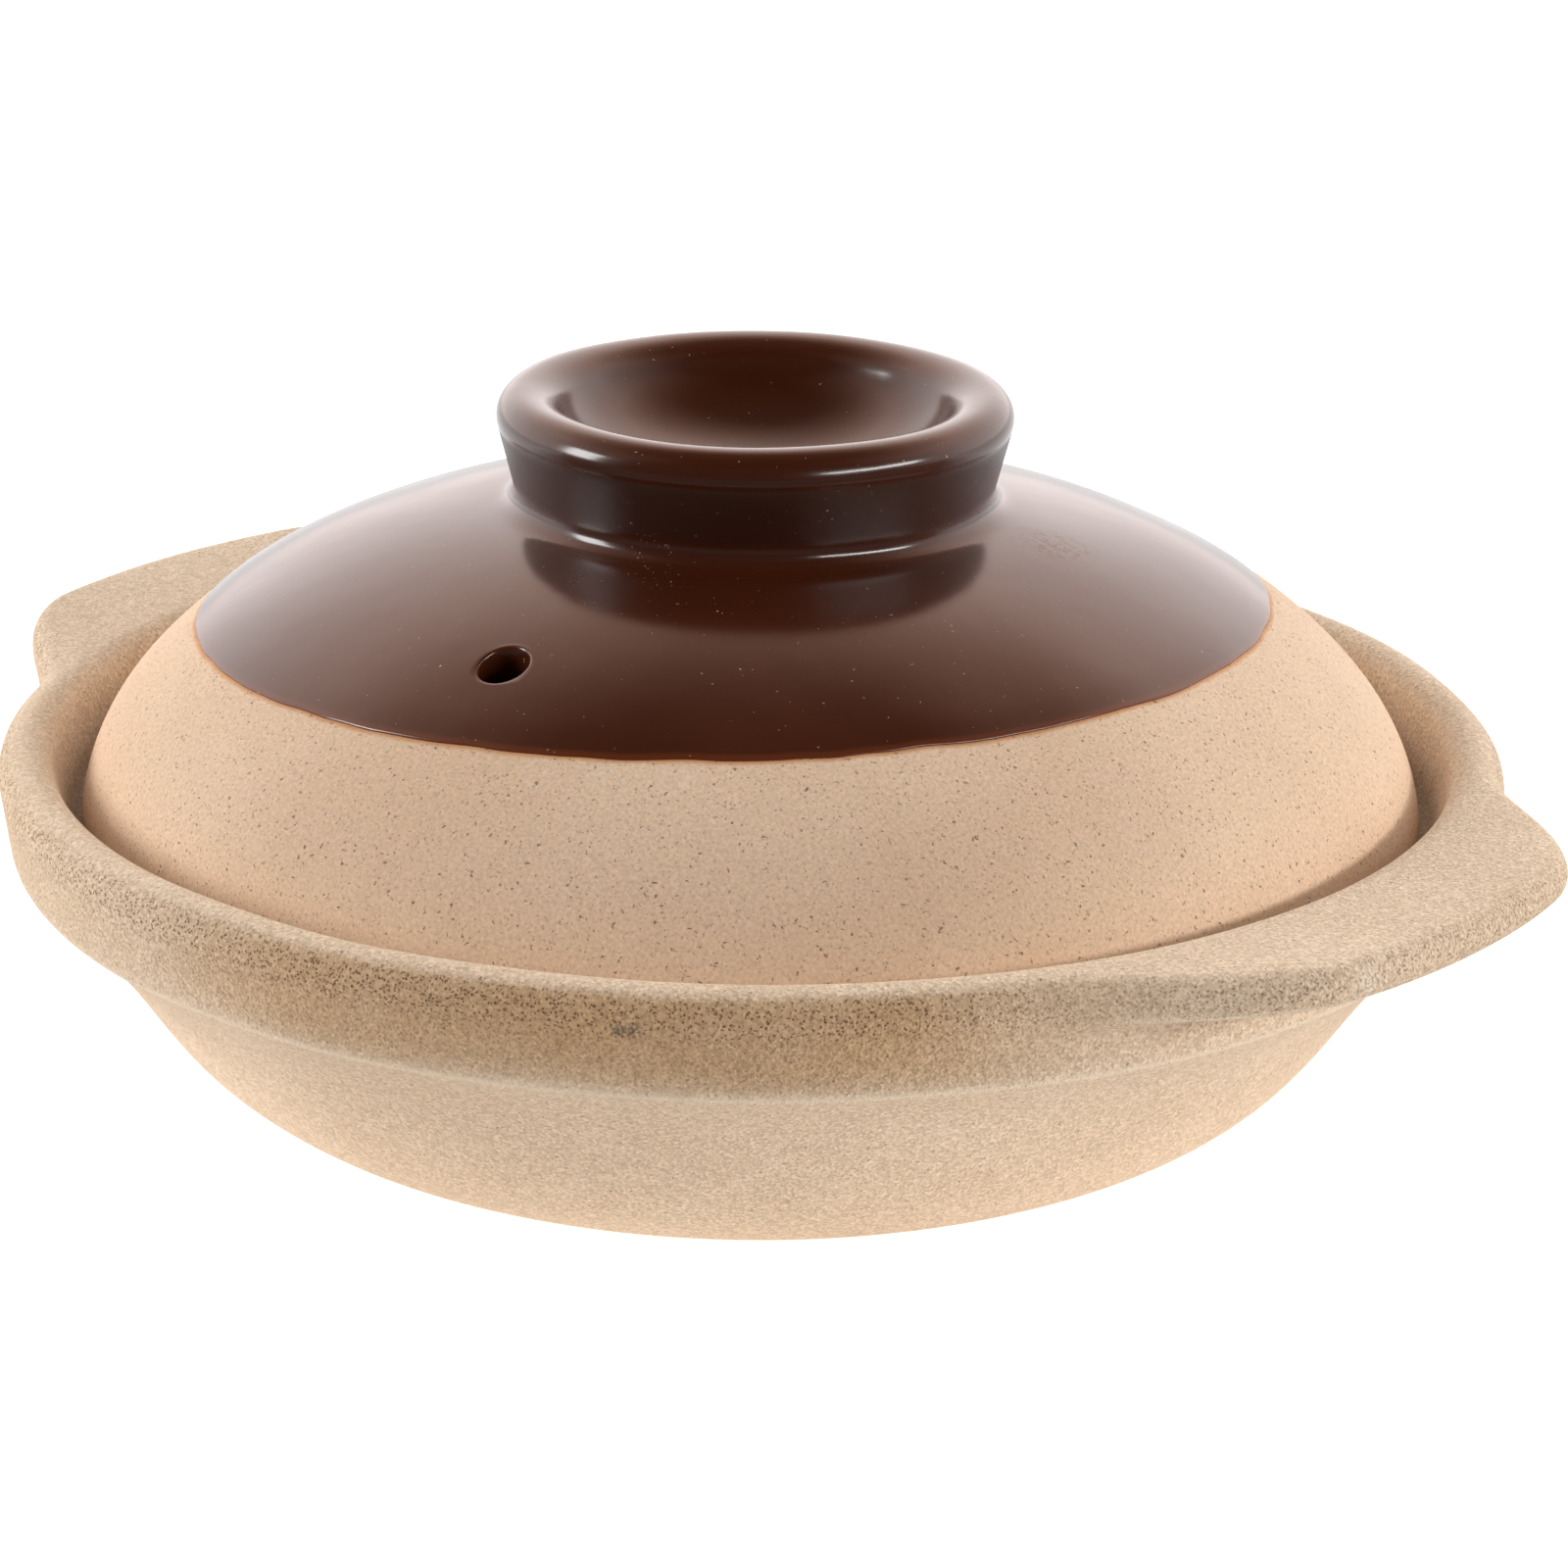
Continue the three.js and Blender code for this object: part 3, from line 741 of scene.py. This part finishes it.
# the freckles are thinner by one lug, a painted light patch where the lug shades the band
freckle = times(tree, freckle, sums(tree, "MULTIPLY_ADD", mark(tree, "freckles_and_lit_gap"), 0.75, 0.12))
body = blend(tree, freckle, body, tint(104, 70, 46))
dark = specks(tree, place, 1100, 0.22, 0.6)
body = blend(tree, times(tree, dark, 0.6), body, tint(104, 74, 52))
soot = sums(tree, "MAXIMUM", *(close_to(tree, place, spot, SOOT_REACH) for spot in SOOT_SPOTS))
soot = times(tree, soot, spread_to(tree, grain, 0.62, 0.42, 0.0, 0.8))
body = blend(tree, soot, body, tint(82, 76, 70))
rubbed = close_to(tree, place, RUBBED_SPOT, RUBBED_REACH)
rubbed = times(tree, rubbed, spread_to(tree, grain, 0.48, 0.62, 0.0, 0.7))
body = blend(tree, rubbed, body, tint(246, 236, 222))
print("clay with its spots", len(tree.nodes), "nodes")

# %% Relief of the sandy clay
relief = sums(tree, "ADD", grain, times(tree, sand.outputs["Distance"], 0.5))
relief = sums(tree, "SUBTRACT", relief, times(tree, freckle, 0.6))
rough = spread_to(tree, grain, 0.3, 0.7, 0.82, 0.96)
dress(pot, sandy, body, rough, relief, strength=0.55, depth=0.0004, specular=0.3)

# %% [markdown]
# ## Smooth clay of the lid
# The lid is the same clay wiped smooth: the grain lies flatter, its colour is a warmer peach, and fine
# dark iron specks show one by one. Right below the glaze the clay drank a little of it and turned orange
# in the fire, so the colour follows the distance from the glaze line. Three chalky smears lie on its
# front.

# %% Smooth clay
SMEARS = [((25.8, -74.4, 72.2), 3.2), ((33.8, -70.5, 72.7), 3.0), ((42.6, -65.4, 72.7), 3.0)]
smooth, tree = finish("smooth_clay")
place = put(tree, "TexCoord").outputs["Object"]
cloud = noise(tree, place, 22, 4)
grain = noise(tree, place, 2000, 3, 0.6)
body = blend(tree, spread_to(tree, cloud, 0.35, 0.65), tint(228, 197, 167), tint(220, 187, 156))
body = blend(tree, 1.0, body, spread_to(tree, grain, 0.3, 0.7, 0.84, 1.12), "MULTIPLY")
wander = sums(tree, "MULTIPLY_ADD", noise(tree, place, 300, 2), 0.5, mark(tree, "below_glaze"))
halo = spread_to(tree, wander, 0.4, 1.1, 0.9, 0.0)
body = blend(tree, halo, body, tint(206, 142, 88))
fine = specks(tree, place, 1500, 0.3, 0.35)
coarse = specks(tree, place, 950, 0.23, 0.5)
body = blend(tree, times(tree, fine, 0.45), body, tint(132, 98, 70))
body = blend(tree, times(tree, coarse, 0.75), body, tint(96, 68, 48))
streaks = spread_to(tree, noise(tree, place, 700, 2), 0.5, 0.62, 0.0, 0.3)
for spot, reach in SMEARS:
    chalk = times(tree, streaks, close_to(tree, place, spot, reach))
    body = blend(tree, chalk, body, tint(238, 222, 208))
relief = sums(tree, "SUBTRACT", grain, times(tree, coarse, 0.8))
rough = spread_to(tree, grain, 0.3, 0.7, 0.68, 0.82)
dress(lid, smooth, body, rough, relief, strength=0.3, depth=0.0002, specular=0.35)

# %% [markdown]
# ## Brown glaze
# The glaze is glass coloured by iron: almost black-brown where it is thick, redder where it thins out at
# its edge. Its gloss is that of plain glass, and the surface has the faint ripple of an orange skin,
# which breaks up reflections. Gas that left the clay in the fire made pinholes. Crumbs of dust lie near
# the foot of the knob, and one patch of the crown is scuffed dull.


# %% Brown glaze
def glaze(piece, name, deep, thin, dusty=(), scuffed=()):
    """Glossy iron glaze: deep colour, thin colour at the edge, ripple, pinholes, dust and scuffs at spots."""
    material, tree = finish(name)
    place = put(tree, "TexCoord").outputs["Object"]
    cloud = noise(tree, place, 60, 4)
    ripple = noise(tree, place, 120, 2, 0.4)
    body = blend(tree, spread_to(tree, cloud, 0.3, 0.7), deep, tuple(1.15 * part for part in deep[:3]) + (1,))
    body = blend(tree, spread_to(tree, mark(tree, "from_edge"), 0.1, 1.2, 0.7, 0.0), body, thin)
    dull_and_shade = mark(tree, "dull_and_shade")
    # painted shade: the knob's neck is darkened, as little light reaches it from the front
    body = blend(tree, times(tree, dull_and_shade, 0.4), body, tint(34, 14, 6))
    pinhole = specks(tree, place, 500, 0.07, 0.7)
    dust = specks(tree, place, 900, 0.1, 0.72)
    for spot, reach in dusty:
        crumbs = times(tree, specks(tree, place, 1500, 0.2, 0.55), close_to(tree, place, spot, reach))
        dust = sums(tree, "MAXIMUM", dust, crumbs)
    body = blend(tree, times(tree, pinhole, 0.8), body, tint(30, 12, 8))
    body = blend(tree, times(tree, dust, 0.75), body, tint(206, 172, 140))
    rough = spread_to(tree, cloud, 0.3, 0.7, 0.15, 0.2)
    rough = sums(tree, "MULTIPLY_ADD", dust, 0.5, rough)
    rough = sums(tree, "MULTIPLY_ADD", dull_and_shade, 0.2, rough)
    for spot, reach in scuffed:
        scratch = spread_to(tree, noise(tree, place, 900, 2), 0.42, 0.6)
        scratch = times(tree, scratch, close_to(tree, place, spot, reach))
        rough = sums(tree, "MULTIPLY_ADD", scratch, 0.22, rough)
        body = blend(tree, times(tree, scratch, 0.35), body, tint(150, 104, 84))
    relief = sums(tree, "SUBTRACT", ripple, times(tree, pinhole, 1.2))
    dress(piece, material, body, rough, relief, strength=0.1, depth=0.0005, index=1.52)


CRUMBS = [((10.1, -35.1, 89.5), 5.5), ((5.2, -41.9, 87.9), 3.5), ((16.0, -36.5, 89.0), 3.0)]
SCUFFS = [((42.9, 16.4, 86.9), 8.5)]
glaze(lid_coat, "brown_glaze", tint(62, 26, 11), tint(110, 52, 24), CRUMBS, SCUFFS)
glaze(pot_coat, "inner_glaze", tint(78, 36, 18), tint(140, 78, 44))

# %% [markdown]
# ## Stage
# The pot was photographed from a little above, with one lug turned a little towards the camera. The
# camera is set where lines traced on the photograph said it stood, and a long lens keeps the ellipses
# flat as in the picture.

# %% Camera
TURN, TILT, ROLL = np.radians([40.0, 19.13, 0.68])
AIM, DISTANCE = np.array([0, 0, 45.7]) * MM, 738.0 * MM
LENS, SENSOR, SHIFT = 114.5, 36, 33.78 / 1600
back = np.array([np.sin(TURN) * np.cos(TILT), -np.cos(TURN) * np.cos(TILT), np.sin(TILT)])
right = np.array([np.cos(TURN), np.sin(TURN), 0])
towards = np.array([np.sin(TURN), -np.cos(TURN), 0])
up = np.cross(back, right)
across, upright = np.cos(ROLL) * right + np.sin(ROLL) * up, np.cos(ROLL) * up - np.sin(ROLL) * right
camera = bpy.data.objects.new("camera", bpy.data.cameras.new("camera"))
stand = np.eye(4)
stand[:3, :3], stand[:3, 3] = np.stack([across, upright, back], -1), AIM + DISTANCE * back
camera.matrix_world = Matrix(stand.tolist())
camera.data.lens, camera.data.sensor_width, camera.data.shift_x = LENS, SENSOR, SHIFT
camera.data.clip_start, camera.data.clip_end = 0.05, 50
bpy.context.scene.collection.objects.link(camera)
bpy.context.scene.camera = camera
print("camera at", stand[:3, 3].round(3))

# %% [markdown]
# The floor is white paper. To the camera it is pure white. Near the pot it glows, because white paper
# throws much light up at the bowl. In reflections it is white behind the pot and dark in front, where the
# room was.

# %% Floor
FLOOR_HALF = 4
GLOW_START, GLOW_END, GLOW_END_MIRRORED = 0.09, 0.3, 0.22
GLOW, SEEN_GLOW = 0.63, 0.75
floor_mesh = bpy.data.meshes.new("floor")
corners = np.array([(-1, -1, 0), (1, -1, 0), (1, 1, 0), (-1, 1, 0)]) * FLOOR_HALF
floor_mesh.from_pydata(corners.tolist(), [], [(0, 1, 2, 3)])
floor = bpy.data.objects.new("floor", floor_mesh)
bpy.context.scene.collection.objects.link(floor)
paper, tree = finish("white_paper")
path = put(tree, "LightPath")
seen = sums(tree, "MAXIMUM", path.outputs["Is Camera Ray"], path.outputs["Is Transmission Ray"])
mirrored = path.outputs["Is Glossy Ray"]
spot = put(tree, "TexCoord").outputs["Object"]
far = put(tree, "VectorMath", {0: spot}, operation="LENGTH").outputs["Value"]
glow_end = spread_to(tree, mirrored, 0, 1, GLOW_END, GLOW_END_MIRRORED)
near = spread_to(tree, far, GLOW_START, glow_end, 1.0, 0.0)
ahead = put(tree, "VectorMath", {0: spot, 1: towards}, operation="DOT_PRODUCT").outputs["Value"]
behind = times(tree, mirrored, spread_to(tree, ahead, -0.12, 0.02, 1.0, 0.0))
near = sums(tree, "MAXIMUM", near, behind)
white = sums(tree, "MAXIMUM", seen, sums(tree, "MULTIPLY_ADD", near, 0.8, 0.2))
matt = put(tree, "BsdfDiffuse", {"Color": blend(tree, white, (0, 0, 0, 1), (0.7, 0.7, 0.7, 1))})
strength = put(tree, "Mix", {0: seen, 2: times(tree, near, GLOW), 3: SEEN_GLOW}).outputs[0]
glow = put(tree, "Emission", {"Color": (1, 1, 1, 1), "Strength": strength})
lit = put(tree, "AddShader", {0: matt.outputs[0], 1: glow.outputs[0]})
put(tree, "OutputMaterial", {0: lit.outputs[0]})
floor.data.materials.append(paper)
print("floor", 2 * FLOOR_HALF, "m wide")

# %% [markdown]
# Two lamps gave the highlights on the knob: a soft box at the left, a little higher than the pot, and a
# long thin strip at the right, closer to the camera. Their shapes are what the glaze mirrors, so the size
# of a lamp matters more than its power.

# %% Lamps
SKYWARD = np.array([0, 0, 1])


def soft_box(name, direction, distance, size, power):
    """A rectangular lamp that far from the pot, turned to face it."""
    lamp = bpy.data.lights.new(name, "AREA")
    lamp.shape, lamp.size, lamp.size_y, lamp.energy = "RECTANGLE", size[0], size[1], power
    box = bpy.data.objects.new(name, lamp)
    facing = np.asarray(direction, float) / np.linalg.norm(direction)
    across = np.cross(SKYWARD, facing) / np.linalg.norm(np.cross(SKYWARD, facing))
    spot = np.eye(4)
    spot[:3, :3] = np.stack([across, np.cross(facing, across), facing], -1)
    spot[:3, 3] = AIM + distance * facing
    box.matrix_world = Matrix(spot.tolist())
    bpy.context.scene.collection.objects.link(box)
    print(name, "at", spot[:3, 3].round(2))


soft_box("lamp_left", -right + 0.15 * towards + 0.34 * SKYWARD, distance=1.05, size=(0.31, 0.42), power=5.5)
soft_box("lamp_right", 0.8 * right + 0.6 * towards + 0.34 * SKYWARD, distance=1.0, size=(0.8, 0.1), power=5.4)

# %% [markdown]
# The rest of the light came from a bright white wall behind the pot, with little from the front and from
# overhead. That is why the pot's flanks and tops are light and its middle is darker. The sky does the
# same, and what the glaze mirrors of it is made a little warmer, as in the photograph.

# %% Sky
WALL_TOP, CEILING, OVERHEAD = 0.63, 0.92, 0.08
WALL_LIGHT, WALL_MIRRORED, IN_FRONT = 2.3, 2.15, 0.08
world = bpy.data.worlds.new("sky")
bpy.context.scene.world = world
world.use_nodes = True
tree = world.node_tree
tree.nodes.clear()
path = put(tree, "LightPath")
mirrored = path.outputs["Is Glossy Ray"]
direction = put(tree, "TexCoord").outputs["Generated"]
upwards = put(tree, "SeparateXYZ", {0: direction}).outputs["Z"]
ahead = put(tree, "VectorMath", {0: direction, 1: towards}, operation="DOT_PRODUCT").outputs["Value"]
behind = spread_to(tree, mirrored, 0, 1, WALL_LIGHT, WALL_MIRRORED)
walls = spread_to(tree, ahead, -0.35, 0.5, behind, IN_FRONT)
walls = times(tree, spread_to(tree, upwards, WALL_TOP, CEILING, 1.0, OVERHEAD), walls)
warmth = blend(tree, spread_to(tree, upwards, 0.3, 0.85), (1, 0.9, 0.87, 1), (1, 0.6, 0.45, 1))
warmth = blend(tree, mirrored, (1, 1, 1, 1), warmth)
tent = put(tree, "Background", {"Color": warmth, "Strength": walls})
plain = put(tree, "Background", {"Color": (1, 1, 1, 1), "Strength": 1.0})
choice = put(tree, "MixShader", {0: path.outputs["Is Camera Ray"], 1: tent.outputs[0], 2: plain.outputs[0]})
put(tree, "OutputWorld", {0: choice.outputs[0]})
bpy.context.scene.view_settings.view_transform = "Standard"
print("sky", len(tree.nodes), "nodes")
